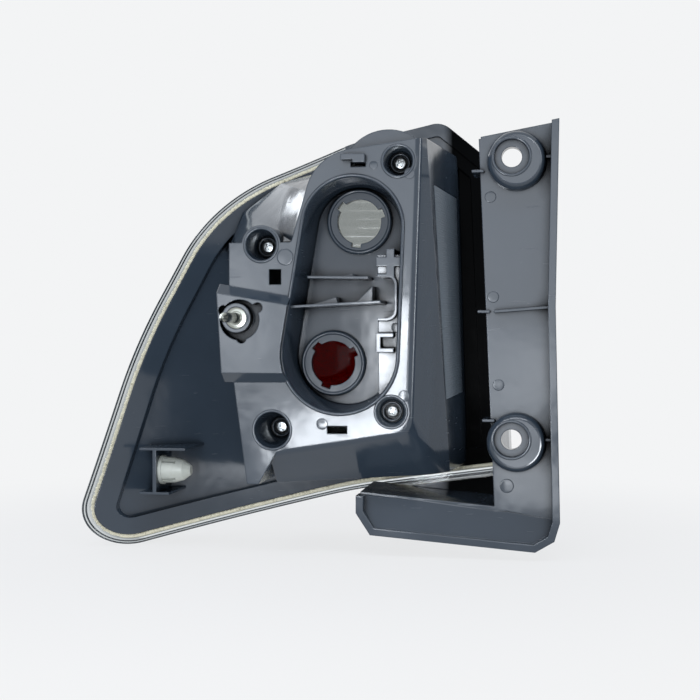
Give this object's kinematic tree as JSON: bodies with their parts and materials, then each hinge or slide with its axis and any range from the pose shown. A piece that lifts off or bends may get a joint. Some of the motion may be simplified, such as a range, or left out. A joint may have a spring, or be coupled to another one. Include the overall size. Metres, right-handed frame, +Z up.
{
  "type": "tail light cluster",
  "caption": "Right-hand wrap-around tail light cluster with a clear lens, a moulded housing with an open bulb bay, and a side bracket that bolts to the body.",
  "frame": {"origin": "midway between the two body bolts, on the plane of their seats", "axes": "+X inboard, to the middle of the car; +Y to the rear, the lit side, along the bolt holes; +Z up"},
  "size_m": [0.3071, 0.165, 0.2859],
  "materials": {
    "housing_plastic": "moulded ABS with a soft gloss",
    "clear_lens": "polished clear acrylic",
    "sealant": "cream hot-melt bead",
    "metallised": "vacuum-metallised plastic",
    "red_lens": "dark red acrylic",
    "clear_inner_lens": "clear acrylic with level flutes",
    "bracket_plastic": "moulded ABS with a soft gloss",
    "zinc_steel": "zinc plated",
    "nylon": "natural white nylon",
    "screw_steel": "zinc plated"
  },
  "bodies": {
    "root": {"housing": "housing_plastic", "outer_lens": "clear_lens", "lens_sealant": "sealant", "reflector_bezel": "metallised", "stop_inner_lens": "red_lens", "signal_inner_lens": "clear_inner_lens", "mounting_bracket": "bracket_plastic", "locating_stud": "zinc_steel", "retainer_clip": "nylon", "housing_screws": "screw_steel"}
  },
  "joints": []
}
